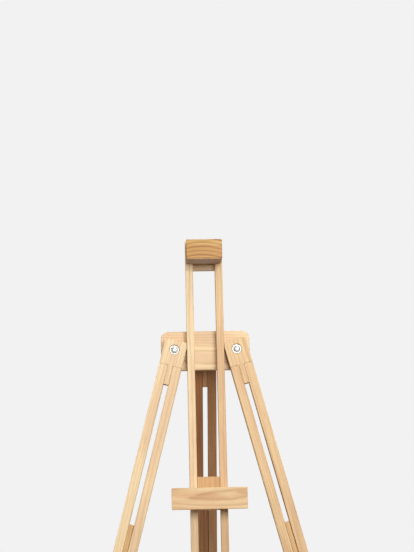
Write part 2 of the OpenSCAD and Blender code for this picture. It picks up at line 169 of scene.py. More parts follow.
class Tone:
    """The colours and figure of one kind of beech.

    rings is how strong the growth rings are, gap their spacing and figure their wander, in mm.
    patchy is how much of the warm colour comes in patches, and the last colour is the one laid on eased
    edges: partly rubbed wear, partly a painted highlight, and a painted edge shade where it is dark, as
    on the golden tone.
    """

    def __init__(self, pale, warm, late, rings, gap, rough=0.46, figure=5.0, patchy=1.0,
                 edge_wear_and_shading=rgb(0.93, 0.80, 0.58)):
        self.pale, self.warm, self.late, self.edge_wear_and_shading = pale, warm, late, edge_wear_and_shading
        self.rings, self.gap, self.figure = rings, gap, figure
        self.rough, self.patchy = rough, patchy


LEG = Tone(rgb(0.79, 0.61, 0.36), rgb(0.70, 0.49, 0.285), rgb(0.38, 0.20, 0.08), 0.4, 3.6)
WARM = Tone(rgb(0.70, 0.49, 0.25), rgb(0.60, 0.37, 0.185), rgb(0.34, 0.17, 0.065), 0.42, 3.9)
BAR = Tone(rgb(0.65, 0.40, 0.165), rgb(0.56, 0.32, 0.13), rgb(0.34, 0.155, 0.045), 0.5, 3.2)
# The next two tones are darker, redder copies of the leg beech: painted shade, standing in for the
# shadow that falls on the rear leg behind the mast and shelf.
SHADED_REAR = Tone(rgb(0.46, 0.27, 0.135), rgb(0.37, 0.19, 0.085), rgb(0.20, 0.085, 0.03), 0.5, 3.6)
SHADED_REAR_BAR = Tone(rgb(0.36, 0.17, 0.07), rgb(0.30, 0.13, 0.05), rgb(0.16, 0.06, 0.02), 0.5, 3.2)
SHELF = Tone(rgb(0.70, 0.52, 0.28), rgb(0.61, 0.355, 0.165), rgb(0.38, 0.18, 0.06), 0.6, 6.5,
             rough=0.42, figure=9.0, patchy=0.3)
# The golden tone's edge colour is near black: painted shade along the block's eased edges, with some
# rubbed wear.
GOLDEN = Tone(rgb(0.58, 0.375, 0.095), rgb(0.45, 0.225, 0.03), rgb(0.21, 0.062, 0.0), 1.0, 7.4,
              rough=0.42, figure=1.6, edge_wear_and_shading=rgb(0.14, 0.045, 0.0))

# How dark the wood gets through one year's growth, from spring to the next spring.
YEAR = [(0.0, 0.3), (0.12, 0.0), (0.55, 0.06), (0.74, 0.6), (0.86, 1.0), (0.97, 1.0), (1.0, 0.3)]


def growth_rings(g, place, wood, ripple, year_shift, tone, pith, arch, slope):
    """1 in the dark late wood of each year's ring, 0 in its early wood."""
    across, deep, along = place
    wander = g.noise(wood, (0.011, 0.011, 0.0024), 2.0)
    sway = g.vector("SUBTRACT", wander.outputs["Color"], (0.5,) * 3).outputs[0]
    sway = g.scaled(sway, (tone.figure * 4,) * 3)
    section = g.combine(g.math("SUBTRACT", across, pith[0]), g.math("SUBTRACT", deep, pith[1]), 0.0)
    radius = g.vector("LENGTH", g.vector("ADD", section, sway).outputs[0]).outputs["Value"]
    radius = g.math("ADD", radius, g.math("MULTIPLY", ripple, 2.2))
    bow = g.math("MULTIPLY", g.math("MULTIPLY", along, along), arch)
    radius = g.math("ADD", radius, g.math("ADD", bow, g.math("MULTIPLY", along, slope)))
    growth = g.math("DIVIDE", radius, tone.gap)
    late = g.curve(g.math("FRACT", growth), YEAR)
    year = g.math("ADD", g.math("FLOOR", growth), year_shift)
    strength = g.add("TexWhiteNoise", {"W": year}, noise_dimensions="1D").outputs[0]
    return g.math("MULTIPLY", late, g.math("MULTIPLY_ADD", strength, 0.45, 0.55))


def flame(g, place, patch, streaks, ripple):
    """1 inside a ragged patch of warm heartwood, 0 outside it."""
    across, _, along = place
    at, off, length, width, tilt = patch
    from_middle = g.math("SUBTRACT", along, at)
    u = g.math("DIVIDE", from_middle, length)
    v = g.math("MULTIPLY_ADD", from_middle, -tilt, g.math("SUBTRACT", across, off))
    v = g.math("DIVIDE", v, width)
    reach = g.math("ADD", g.math("MULTIPLY", u, u), g.math("MULTIPLY", v, v))
    reach = g.math("MULTIPLY_ADD", g.math("SUBTRACT", streaks, 0.5), 2.4, reach)
    reach = g.math("MULTIPLY_ADD", g.math("SUBTRACT", ripple, 0.5), 2.0, reach)
    return g.step(reach, 1.7, 0.0, 0.0, 0.8)


def ray_flecks(g, wood):
    """The short dark dashes of beech, 1 inside a fleck."""
    ray = g.cells(wood, (0.85, 0.85, 0.2))
    chosen = g.step(g.dot(ray.outputs["Color"], (1, 0, 0)), 0.35, 0.45)
    return g.math("MULTIPLY", g.step(ray.outputs["Distance"], 0.26, 0.12), chosen)


def beech(name, centre, grain, face, tone, pith, arch=0.0, slope=0.0, flames=()):
    """Planed beech. grain and face are the piece's own directions, pith its heart's offset in mm.

    arch and slope bend the growth rings along the grain, as in a flat-sawn board. Each flame is a
    patch of warm heartwood: its place along and across the grain, half length, half width and slope.
    """
    draw = random.Random(name)
    g = Graph(name)
    side = face.cross(grain).normalized()
    point = g.vector("SUBTRACT", g.place(), tuple(centre)).outputs[0]
    point = g.scaled(point, (1 / MM,) * 3)
    place = tuple(g.dot(point, axis) for axis in (side, face, grain))
    shift = [draw.uniform(-900, 900) for _ in range(3)]
    wood = g.vector("ADD", g.combine(*place), tuple(shift)).outputs[0]

    ripple = g.noise(wood, (0.11, 0.11, 0.03), 3.0).outputs["Fac"]
    fibres = g.noise(wood, (2.4, 2.4, 0.05), 3.0, 0.6).outputs["Fac"]
    streaks = g.noise(wood, (0.34, 0.34, 0.006), 3.0).outputs["Fac"]
    tinge = g.noise(wood, (0.035, 0.035, 0.0045), 2.0).outputs["Fac"]
    pores = g.step(g.noise(wood, (3.2, 3.2, 0.4), 1.0).outputs["Fac"], 0.52, 0.66)
    rubbed = g.step(g.noise(wood, (0.05, 0.05, 0.02)).outputs["Fac"], 0.3, 0.6)
    rings = growth_rings(g, place, wood, ripple, shift[0], tone, pith, arch, slope)
    flecks = ray_flecks(g, wood)
    end = g.step(g.math("ABSOLUTE", g.dot(g.facing(), grain)), 0.55, 0.85)
    # Mask for the edge colour: eased edges in random patches, standing partly for rubbed wear and
    # partly for a painted edge highlight or edge shade, depending on the tone.
    edge_wear_and_shading = g.math("MULTIPLY", g.edges(0.9 * MM), rubbed)

    colour = g.blend(g.step(tinge, 0.42, 0.60, 0.0, tone.patchy), tone.pale, tone.warm)
    for patch in flames:
        colour = g.blend(flame(g, place, patch, streaks, ripple), colour, tone.warm)
    depth = g.math("MULTIPLY_ADD", end, 0.35, tone.rings)
    colour = g.blend(g.math("MULTIPLY", rings, depth), colour, tone.late)
    colour = g.blend(g.step(streaks, 0.46, 0.66, 0.0, 0.45), colour, tone.warm)
    colour = g.blend(g.step(fibres, 0.45, 0.70, 0.0, 0.24), colour, tone.late)
    colour = g.blend(g.math("MULTIPLY", flecks, 0.28), colour, tone.late)
    dark_end = g.blend(g.math("MULTIPLY", pores, 0.4), rgb(0.74, 0.68, 0.60), rgb(0.45, 0.38, 0.32))
    colour = g.blend(end, colour, g.blend(1.0, colour, dark_end, "MULTIPLY"))
    # Eased edges take the edge colour: partly rubbed wear, partly a painted highlight along the edges;
    # where the tone's edge colour is dark, as on the golden block, it is painted edge shade.
    colour = g.blend(g.math("MULTIPLY", edge_wear_and_shading, 0.45), colour, g.blend(0.5, tone.pale, tone.edge_wear_and_shading))
    g.plug(g.shader.inputs["Base Color"], colour)

    rough = g.math("MULTIPLY_ADD", fibres, 0.16, tone.rough - 0.08)
    rough = g.math("MULTIPLY_ADD", end, 0.2, rough)
    g.plug(g.shader.inputs["Roughness"], g.math("MULTIPLY_ADD", rings, 0.06, rough))
    relief = g.math("MULTIPLY_ADD", rings, 0.35, fibres)
    relief = g.math("SUBTRACT", relief, g.math("MULTIPLY", flecks, 0.3))
    relief = g.math("SUBTRACT", relief, g.math("MULTIPLY", g.math("MULTIPLY", pores, end), 0.6))
    g.bump(relief, 0.35, 0.12 * MM)
    g.shader.inputs["Specular IOR Level"].default_value = 0.4
    return g.material


def zinc_steel(name):
    """Zinc-plated steel: cloudy plating, fine scratches, grey grime and bright rubbed edges."""
    g = Graph(name)
    point = g.scaled(g.place(), (1 / MM,) * 3)
    cloud = g.noise(point, (0.12,) * 3, 4.0, 0.6).outputs["Fac"]
    speckle = g.noise(point, (1.6,) * 3, 3.0, 0.7).outputs["Fac"]
    scratch_a = g.noise(point, (0.25, 5.0, 5.0), 1.0).outputs["Fac"]
    scratch_b = g.noise(point, (5.0, 0.3, 4.0), 1.0).outputs["Fac"]
    scratches = g.math("MAXIMUM", g.step(scratch_a, 0.66, 0.74), g.step(scratch_b, 0.67, 0.75))
    colour = g.blend(g.step(cloud, 0.35, 0.65), rgb(0.44, 0.445, 0.455), rgb(0.58, 0.58, 0.565))
    colour = g.blend(g.step(speckle, 0.62, 0.8, 0.0, 0.35), colour, rgb(0.27, 0.26, 0.245))
    colour = g.blend(g.math("MULTIPLY", g.edges(0.35 * MM), 0.6), colour, rgb(0.74, 0.74, 0.72))
    g.plug(g.shader.inputs["Base Color"], colour)
    g.shader.inputs["Metallic"].default_value = 1.0
    rough = g.math("MULTIPLY_ADD", cloud, 0.25, 0.26)
    rough = g.math("MULTIPLY_ADD", scratches, -0.1, rough)
    g.plug(g.shader.inputs["Roughness"], g.math("MULTIPLY_ADD", speckle, 0.1, rough))
    g.bump(g.math("MULTIPLY_ADD", scratches, -0.4, speckle), 0.25, 0.04 * MM)
    return g.material


def moulded_rubber(name, ground):
    """Dark moulded rubber with a grained skin, rubbed edges, and dust near the ground."""
    g = Graph(name)
    place = g.place()
    point = g.scaled(place, (1 / MM,) * 3)
    skin = g.noise(point, (2.6,) * 3, 3.0, 0.65).outputs["Fac"]
    patches = g.noise(point, (0.16,) * 3, 3.0, 0.6).outputs["Fac"]
    colour = g.blend(g.step(patches, 0.35, 0.7), rgb(0.022, 0.021, 0.020), rgb(0.045, 0.043, 0.040))
    colour = g.blend(g.math("MULTIPLY", g.edges(0.5 * MM), 0.5), colour, rgb(0.10, 0.095, 0.088))
    dust = g.step(g.noise(point, (0.7,) * 3, 4.0, 0.7).outputs["Fac"], 0.45, 0.75)
    near = g.step(g.dot(place, (0, 0, 1)), ground + 9 * MM, ground + 1 * MM)
    dust = g.math("MULTIPLY", dust, g.math("MULTIPLY_ADD", near, 0.8, 0.15))
    colour = g.blend(dust, colour, rgb(0.30, 0.27, 0.23))
    g.plug(g.shader.inputs["Base Color"], colour)
    g.plug(g.shader.inputs["Roughness"], g.math("MULTIPLY_ADD", skin, 0.22, 0.58))
    g.bump(skin, 0.5, 0.08 * MM)
    return g.material


def tanned_leather(name):
    """Brown leather: pebbled grain, mottled dye, dark creases and rubbed edges."""
    g = Graph(name)
    point = g.scaled(g.place(), (1 / MM,) * 3)
    warp = g.scaled(g.noise(point, (0.5,) * 3, 2.0).outputs["Color"], (1.4,) * 3)
    pebble = g.cells(g.vector("ADD", point, warp).outputs[0], (0.85,) * 3).outputs["Distance"]
    mottle = g.noise(point, (0.14,) * 3, 4.0, 0.6).outputs["Fac"]
    speck = g.noise(point, (1.9,) * 3, 3.0, 0.6).outputs["Fac"]
    crease = g.step(g.noise(point, (0.9, 0.12, 0.9), 3.0, 0.6).outputs["Fac"], 0.60, 0.72)
    colour = g.blend(g.step(mottle, 0.35, 0.65), rgb(0.52, 0.30, 0.165), rgb(0.70, 0.45, 0.27))
    colour = g.blend(g.step(pebble, 0.3, 0.75, 0.0, 0.5), colour, rgb(0.27, 0.13, 0.06))
    colour = g.blend(g.math("MULTIPLY", crease, 0.35), colour, rgb(0.16, 0.07, 0.03))
    colour = g.blend(g.step(speck, 0.6, 0.75, 0.0, 0.3), colour, rgb(0.66, 0.44, 0.27))
    colour = g.blend(g.math("MULTIPLY", g.edges(0.5 * MM), 0.5), colour, rgb(0.62, 0.40, 0.24))
    g.plug(g.shader.inputs["Base Color"], colour)
    g.plug(g.shader.inputs["Roughness"], g.math("MULTIPLY_ADD", mottle, 0.25, 0.42))
    relief = g.math("SUBTRACT", g.step(pebble, 0.75, 0.2), g.math("MULTIPLY", crease, 0.5))
    g.bump(relief, 0.5, 0.12 * MM)
    return g.material


# ---- CAD pieces: eased edges and their wood or metal ----


WELD_REACH = 0.004
FLAT_WITHIN = math.radians(0.2)
EDGE_FROM = math.radians(30)


def ease_edges(node, width, segments=2):
    """Rounds the edges of a CAD node by modifiers, on the joined-up mesh. Width is in mm."""
    mesh = node.data
    for layer in ("custom_normal", "sharp_edge", "sharp_face"):
        if layer in mesh.attributes:
            mesh.attributes.remove(mesh.attributes[layer])
    weld = node.modifiers.new("Weld", "WELD")
    weld.merge_threshold = WELD_REACH * MM
    planar = node.modifiers.new("FlatFaces", "DECIMATE")
    planar.decimate_type = "DISSOLVE"
    planar.angle_limit = FLAT_WITHIN
    bevel = node.modifiers.new("EasedEdges", "BEVEL")
    bevel.width = width * MM
    bevel.segments = segments
    bevel.limit_method = "ANGLE"
    bevel.angle_limit = EDGE_FROM
    bevel.use_clamp_overlap = False
    bevel.harden_normals = True
    bevel.miter_outer = "MITER_ARC"


def shade(piece, sharp_from=35):
    """Smooth shading, except across edges sharper than sharp_from degrees."""
    piece.data.shade_smooth()
    piece.data.set_sharp_from_angle(angle=math.radians(sharp_from))


def finish_with(piece, material):
    piece.data.materials.clear()
    piece.data.materials.append(material)


def centre_of(node):
    low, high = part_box(node)
    return (low + high) / 2


def span(points, origin, axis):
    """Lowest and highest reach of the points along an axis through origin."""
    reach = [(point - origin).dot(axis) for point in points]
    return min(reach), max(reach)


def corners(node):
    return [vertex.co.copy() for vertex in NODES[node].data.vertices]


def wood_node(node, tone, grain, face, pith, width=0.5, segments=2, **figure):
    ease_edges(NODES[node], width, segments)
    finish_with(NODES[node], beech(node + "_beech", centre_of(node), grain, face, tone, pith, **figure))


def dress_mast():
    wood_node("mast_rail_left", LEG, UP, BACK, (-34, 46), 0.4)
    wood_node("mast_rail_right", WARM, UP, BACK, (52, 30), 0.4)
    wood_node("mast_top_block", BAR, UP, BACK, (22, 40), 0.5)
    wood_node("mast_bottom_block", BAR, UP, BACK, (-30, 26), 0.5)
    wood_node("yoke_board", LEG, RIGHT, BACK, (14, -46), 1.6, 3)


def dress_leg(leg, strips, heart, woods, bar_wood):
    """Wood on a leg's head, its two strips and its sliding bar. heart is its pith's offset in mm."""
    down = LEG_DOWN[leg]
    face = down.cross(RIGHT).normalized() if leg == "rear" else BACK
    wood_node(f"{leg}_leg_head", woods[1], down, face, (heart, 38), 0.9, 3)
    for place, strip in enumerate(strips):
        pith = (heart - 70 * place, 52 - 14 * place)
        wood_node(f"{leg}_leg_{strip}_strip", woods[place], down, face, pith, 0.4)
    wood_node(f"{leg}_extension_bar", bar_wood, down, face, (-heart, 44), 0.35)


def dress_shelf():
    flames = [(-42, -8, 50, 8, 0.10), (6, -3, 30, 6, 0.14), (60, -9, 12, 4, 0.2), (-20, 18, 90, 2, 0.0)]
    wood_node("shelf_lip", SHELF, RIGHT, BACK, (-6, -30), 0.8, 3, arch=0.0006, slope=-0.05,
              flames=flames)
    wood_node("shelf_tray", SHELF, RIGHT, UP, (20, -60), 0.6)
    wood_node("shelf_carrier", BAR, RIGHT, BACK, (-14, 50), 0.8)
    wood_node("shelf_guide", BAR, UP, BACK, (30, 40), 0.4)
    wood_node("shelf_clamp_plate", LEG, RIGHT, BACK, (26, -44), 1.0, 3)
    wood_node("shelf_dowels", LEG, BACK, UP, (12, 30), 0.2)


def dress_holder():
    flames = [(0, -17, 60, 4, 0.02), (8, 17, 50, 3, 0.0)]
    wood_node("holder_block", GOLDEN, RIGHT, BACK, (-130, 14), 0.7, 3, arch=-0.0042, slope=-0.05,
              flames=flames)
    wood_node("holder_guide", BAR, UP, BACK, (26, 44), 0.4)
    wood_node("holder_clamp_plate", LEG, RIGHT, BACK, (30, -40), 1.0, 3)


def dress_steel(steel):
    for node in NODES:
        if node.endswith(("screws", "washers", "washer")):
            ease_edges(NODES[node], 0.12)
            finish_with(NODES[node], steel)
        elif node.endswith(("_band", "_bracket")):
            ease_edges(NODES[node], 0.3, 3)
            finish_with(NODES[node], steel)


# ---- turned and cast hardware, made along z in mm ----

SIDES = 36


def hexagon(flat):
    """Radius of a hexagon at an angle, from half the distance across its flats."""
    sector = math.radians(60)
    return lambda angle: flat / math.cos((angle % sector) - sector / 2)


def new_piece(name, points, faces, material):
    mesh = bpy.data.meshes.new(name)
    mesh.from_pydata([Vector(p) * MM for p in points], [], faces)
    mesh.update()
    piece = bpy.data.objects.new(name, mesh)
    bpy.context.scene.collection.objects.link(piece)
    mesh.materials.append(material)
    return piece


def turned(name, stations, material, sides=SIDES):
    """A closed turned piece. Each station is (height, radius), and a radius may depend on the angle."""
    points, faces = [], []
    for height, radius in stations:
        for i in range(sides):
            angle = math.tau * i / sides
            r = radius(angle) if callable(radius) else radius
            points.append((r * math.cos(angle), r * math.sin(angle), height))
    for ring in range(len(stations) - 1):
        for i in range(sides):
            a, b = ring * sides + i, ring * sides + (i + 1) % sides
            faces.append((a, b, b + sides, a + sides))
    faces.append(tuple(reversed(range(sides))))
    last = (len(stations) - 1) * sides
    faces.append(tuple(range(last, last + sides)))
    piece = new_piece(name, points, faces, material)
    shade(piece)
    return piece


STATIONS_PER_TURN = 8


def thread(start, end, radius, pitch):
    """Stations of a screw thread from start to end, with a chamfered tip."""
    depth = 0.6 * pitch
    tip = 0.8 * pitch
    stations = []
    count = int((end - start) / pitch * STATIONS_PER_TURN)
    for i in range(count + 1):
        height = start + (end - start) * i / count
        taper = max(0.0, 1 - (end - height) / tip) * depth

        def ridge(angle, height=height, taper=taper):
            turn = (height / pitch - angle / math.tau) % 1
            return radius - max(depth * abs(2 * turn - 1) * 0.9, taper)

        stations.append((height, ridge))
    return stations


def dome_head(radius, height, socket):
    """Stations of a domed head from its crown, with a hexagon socket if its half width is given."""
    stations = []
    if socket:
        stations += [(0.65 * height, hexagon(socket * 0.98)), (0.12 * height, hexagon(socket)),
                     (0.03 * height, hexagon(socket * 1.06))]
        start = socket * 1.25
    else:
        start = radius * 0.05
    steps = 9
    for i in range(steps + 1):
        r = start + (radius - start) * math.sin(math.pi / 2 * i / steps)
        sag = 1 - math.sqrt(max(0.0, 1 - (r / radius) ** 2))
        stations.append((height * 0.86 * sag, r))
    stations += [(height * 0.93, radius), (height, radius - 0.25)]
    return stations


def hex_head(flat, height):
    """Stations of a hexagon head, from half the distance across its flats."""
    return [(0.0, flat * 0.9), (0.35, hexagon(flat * 0.985)), (height - 0.1, hexagon(flat)),
            (height, hexagon(flat * 0.985))]


SHANK = 3.0
PITCH = 1.0
THREAD_LENGTH = 18.0
HUB_REACH = 8.0
STUD_END = [(0.0, SHANK - 0.5), (0.5, SHANK)]


def off_axis(point, line, axis):
    """How far the point is from an axis through line."""
    arm = point - line
    return (arm - axis * arm.dot(axis)).length


def bolt(name, node, body, line, axis, head, steel):
    """A bolt along a line, or a stud if it has no head, as long as the CAD one on that line."""
    near = [p for p in corners(node) if off_axis(p, line, axis) < HUB_REACH * MM]
    low, high = (reach / MM for reach in span(near, line, axis))
    length = high - low
    if head:
        stations = head + [(head[-1][0] + 0.01, SHANK)]
    else:
        stations = STUD_END + [(0.6, SHANK)]
    stations.append((length - THREAD_LENGTH - 0.4, SHANK))
    stations += thread(length - THREAD_LENGTH, length, SHANK, PITCH)
    piece = turned(name, stations, steel)
    put(piece, line + axis * low * MM, axis, side_of(axis))
    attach(piece, body)
    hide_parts(node)
    return piece


def side_of(axis):
    """Any direction square to the axis."""
    other = RIGHT if abs(axis.x) < 0.9 else Vector((0, 0, 1))
    return (other - axis * other.dot(axis)).normalized()


def put(piece, origin, axis, heading):
    """Places a piece made along z: its z along axis and its x along heading."""
    turn = Matrix((heading, axis.cross(heading), axis)).transposed().to_4x4()
    piece.data.transform(Matrix.Translation(origin) @ turn)
    piece.data.update()


def smooth_outline(knots, steps=6):
    """Points of a closed Catmull-Rom curve through the knots."""
    points = []
    count = len(knots)
    for i in range(count):
        p0, p1, p2, p3 = (Vector(knots[(i + k) % count]) for k in (-1, 0, 1, 2))
        for k in range(steps):
            t = k / steps
            points.append(0.5 * (2 * p1 + (p2 - p0) * t + (2 * p0 - 5 * p1 + 4 * p2 - p3) * t * t
                                 + (3 * p1 - p0 - 3 * p2 + p3) * t ** 3))
    return points


# A wing's outline: how far out from the axis and how far along it.
WING = [(1.0, 1.6), (6.0, 1.6), (10.4, 5.0), (14.4, 8.2), (14.6, 11.6), (11.6, 14.0), (8.4, 12.6),
        (5.6, 8.6), (1.0, 7.0)]
# Its hub's profile: how far along the axis and how far out.
HUB = [(0.0, 5.3), (0.4, 6.0), (1.8, 6.0), (2.8, 5.5), (7.2, 4.9), (8.0, 4.2)]
WING_ROOT = 1.7
WING_THINS = 0.55
THINS_FROM = 4
THINS_OVER = 9
CAST_VOXEL = 0.36


def applied(piece):
    """Applies the piece's modifiers."""
    shaped = bpy.data.meshes.new_from_object(piece.evaluated_get(bpy.context.evaluated_depsgraph_get()))
    old = piece.data
    piece.modifiers.clear()
    piece.data = shaped
    bpy.data.meshes.remove(old)
    return piece


def wing(side):
    """One flat wing, thinner towards its tip. side is 1 or -1."""
    outline = smooth_outline(WING)
    count = len(outline)
    points = []
    for layer in (-1, 1):
        for p in outline:
            thinned = min(1.0, max(0.0, (p.x - THINS_FROM) / THINS_OVER))
            thick = WING_ROOT - WING_THINS * thinned
            points.append((side * p.x, layer * thick, p.y))
    faces = [tuple(range(count)), tuple(reversed(range(count, 2 * count)))]
    for i in range(count):
        j = (i + 1) % count
        faces.append((j, i, i + count, j + count))
    if side < 0:
        faces = [tuple(reversed(face)) for face in faces]
    return new_piece("wing", points, faces, None)


def wing_mesh(bore):
    """A cast wing nut or the wings of a thumbscrew: hub and wings melted together, then bored."""
    hub = turned("hub", HUB, None, 48)
    joined = melt([hub, wing(1), wing(-1)], CAST_VOXEL)
    if bore:
        tool = turned("bore", [(-2.0, bore), (12.0, bore)], None, 48)
        cut = joined.modifiers.new("Bore", "BOOLEAN")
        cut.operation = "DIFFERENCE"
        cut.object = tool
        cut.solver = "EXACT"
        applied(joined)
        bpy.data.objects.remove(tool)
    mesh = joined.data
    bpy.data.objects.remove(joined)
    mesh.shade_smooth()
    mesh.set_sharp_from_angle(angle=math.radians(50))
    return mesh


def melt(pieces, voxel):
    """Joins closed pieces into one cast skin."""
    points, faces = [], []
    for piece in pieces:
        first = len(points)
        points += [tuple(vertex.co) for vertex in piece.data.vertices]
        faces += [tuple(first + i for i in polygon.vertices) for polygon in piece.data.polygons]
        bpy.data.objects.remove(piece)
    mesh = bpy.data.meshes.new("cast")
    mesh.from_pydata(points, [], faces)
    whole = bpy.data.objects.new("cast", mesh)
    bpy.context.scene.collection.objects.link(whole)
    remesh = whole.modifiers.new("Melt", "REMESH")
    remesh.mode = "VOXEL"
    remesh.voxel_size = voxel * MM
    soften = whole.modifiers.new("Soften", "SMOOTH")
    soften.factor = 0.5
    soften.iterations = 5
    return applied(whole)


def wing_heading(node, line, axis):
    """Which way the CAD wing nut's wings point round its axis."""
    a = side_of(axis)
    b = axis.cross(a)
    flat = np.array([((p - line).dot(a), (p - line).dot(b)) for p in corners(node)])
    flat = flat[np.hypot(flat[:, 0], flat[:, 1]) > HUB_REACH * MM]
    values, vectors = np.linalg.eigh(flat.T @ flat)
    x, y = vectors[:, int(np.argmax(values))]
    return (a * float(x) + b * float(y)).normalized()


def cast_copy(name, wings, steel):
    piece = bpy.data.objects.new(name, wings.copy())
    bpy.context.scene.collection.objects.link(piece)
    finish_with(piece, steel)
    return piece


def wing_nut(node, joint, wings, steel):
    body = JOINTS[joint]["child"]
    line, axis = Vector(JOINTS[joint]["pos_m"]), Vector(JOINTS[joint]["axis"])
    low, _ = span(corners(node), line, axis)
    piece = cast_copy(node + "_cast", wings, steel)
    put(piece, line + axis * low, axis, wing_heading(node, line, axis))
    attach(piece, body)
    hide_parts(node)


CLAMP_RADIUS = 2.5
CLAMP_PITCH = 0.8
CLAMP_LENGTH = 9.0
CLAMP_IN_HUB = 1.0


def thumbscrew(leg, wings, steel):
    """The wing screw of a leg's band: a threaded shank under cast wings."""
    node, joint = f"{leg}_leg_wing_screw", JOINTS[f"{leg}_clamp_turn"]
    line, axis = Vector(joint["pos_m"]), Vector(joint["axis"])
    low, _ = span(corners(node), line, axis)
    heading = wing_heading(node, line, axis)
    handle = cast_copy(f"{leg}_clamp_wings", wings, steel)
    put(handle, line + axis * (low + CLAMP_LENGTH * MM), axis, heading)
    length = CLAMP_LENGTH + CLAMP_IN_HUB
    stations = [(length - h, r) for h, r in reversed(thread(0.0, length, CLAMP_RADIUS, CLAMP_PITCH))]
    shank = turned(f"{leg}_clamp_thread", stations, steel)
    put(shank, line + axis * low, axis, heading)
    for piece in (handle, shank):
        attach(piece, joint["child"])
        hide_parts(node)


def make_hardware(steel):
    nut_wings, screw_wings = wing_mesh(SHANK + 0.08), wing_mesh(None)
    for node, joint in (
        ("left_pivot_wing_nut", "left_pivot_nut_turn"),
        ("right_pivot_wing_nut", "right_pivot_nut_turn"),
        ("rear_hinge_wing_nut", "rear_hinge_nut_turn"),
        ("shelf_wing_nut", "shelf_nut_turn"),
        ("holder_wing_nut", "holder_nut_turn"),
    ):
        wing_nut(node, joint, nut_wings, steel)
    for leg in LEG_DOWN:
        thumbscrew(leg, screw_wings, steel)
    for side in ("left", "right"):
        line = Vector(JOINTS[f"{side}_pivot_nut_turn"]["pos_m"])
        head = dome_head(6.5, 3.0, 2.0)
        bolt(f"{side}_pivot_bolt", "leg_pivot_bolts", "mast", line, BACK, head, steel)
    line = Vector(JOINTS["rear_hinge_nut_turn"]["pos_m"])
    bolt("rear_hinge_pin", "rear_hinge_bolt", "mast", line, RIGHT, hex_head(4.76, 4.0), steel)
    line = Vector(JOINTS["shelf_nut_turn"]["pos_m"])
    bolt("shelf_coach_bolt", "shelf_bolt", "shelf", line, BACK, dome_head(7.5, 3.4, None), steel)
    line = Vector(JOINTS["holder_nut_turn"]["pos_m"])
    bolt("holder_threaded_stud", "holder_stud", "holder", line, BACK, [], steel)
    hinge_washer(steel)


def hinge_washer(steel):
    """The loose washer under the rear hinge's wing nut, against the bracket's right ear."""
    line = Vector(JOINTS["rear_hinge_nut_turn"]["pos_m"])
    _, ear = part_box("rear_hinge_bracket")
    outer, inner, thick, rim = 9.0, SHANK + 0.05, 1.2, 0.15
    section = [(rim, outer), (thick - rim, outer), (thick, outer - rim), (thick, inner), (0.0, inner),
               (0.0, outer - rim)]
    points, faces = [], []
    for height, radius in section:
        for i in range(SIDES):
            angle = math.tau * i / SIDES
            points.append((radius * math.cos(angle), radius * math.sin(angle), height))
    rings = len(section)
    for ring in range(rings):
        for i in range(SIDES):
            a, b = ring * SIDES, (ring + 1) % rings * SIDES
            j = (i + 1) % SIDES
            faces.append((a + i, a + j, b + j, b + i))
    piece = new_piece("rear_hinge_washer", points, faces, steel)
    shade(piece)
    put(piece, Vector((ear.x, line.y, line.z)), RIGHT, side_of(RIGHT))
    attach(piece, "mast")
    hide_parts("rear_hinge_bolt")


# ---- rubber feet ----

FOOT_RADIUS = 13.0
FOOT_HEIGHT = 26.0


def foot_stations():
    """A ferrule's profile: its domed tread, ribs and rolled collar. 0 is the dome's centre."""
    stations = []
    steps = 14
    for i in range(steps + 1):
        angle = math.pi / 2 * (0.04 + 0.96 * i / steps)
        groove = 0.35 if i in (5, 9) else 0.0
        radius = (FOOT_RADIUS - groove) * math.sin(angle)
        stations.append((-(FOOT_RADIUS - groove) * math.cos(angle), radius))
    for low in (2.5, 6.5, 10.5):
        stations += [(low, FOOT_RADIUS), (low + 0.5, FOOT_RADIUS - 0.9), (low + 1.8, FOOT_RADIUS - 0.9),
                     (low + 2.3, FOOT_RADIUS)]
    stations += [(14.5, FOOT_RADIUS), (15.2, FOOT_RADIUS - 1.0), (21.4, FOOT_RADIUS - 1.4),
                 (22.2, FOOT_RADIUS - 0.5), (23.2, FOOT_RADIUS), (24.8, FOOT_RADIUS),
                 (25.7, FOOT_RADIUS - 0.5), (FOOT_HEIGHT, FOOT_RADIUS - 1.4)]
    return stations


def rubber_foot(leg, rubber):
    node, bar = f"{leg}_foot", NODES[f"{leg}_extension_bar"]
    up = -LEG_DOWN[leg]
    line = centre_line(leg)
    low, high = span(corners(node), line, up)
    piece = turned(f"{leg}_rubber_foot", foot_stations(), rubber, 64)
    put(piece, line + up * (high - FOOT_HEIGHT * MM), up, side_of(up))
    socket = piece.modifiers.new("Socket", "BOOLEAN")
    socket.operation = "DIFFERENCE"
    socket.object = bar
    socket.solver = "EXACT"
    material = piece.data.materials[0]
    applied(piece)
    finish_with(piece, material)
    shade(piece)
    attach(piece, f"{leg}_extension")
    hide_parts(node)


# ---- leather pad ----

PAD_CORNER = 2.5
PAD_POINTS_PER_CORNER = 7


def pad_outline(half_w, half_d, inset):
    """A rectangle with rounded corners, inset from the pad's edge by the same distance all round."""
    radius = max(PAD_CORNER - inset, 0.2)
    points = []
    for quarter in range(4):
        turn = math.pi / 2 * quarter
        right, back = math.cos(turn + math.pi / 4), math.sin(turn + math.pi / 4)
        x = math.copysign(half_w - inset - radius, right)
        y = math.copysign(half_d - inset - radius, back)
        for i in range(PAD_POINTS_PER_CORNER):
            angle = turn + math.pi / 2 * i / (PAD_POINTS_PER_CORNER - 1)
            points.append((x + radius * math.cos(angle), y + radius * math.sin(angle)))
    return points


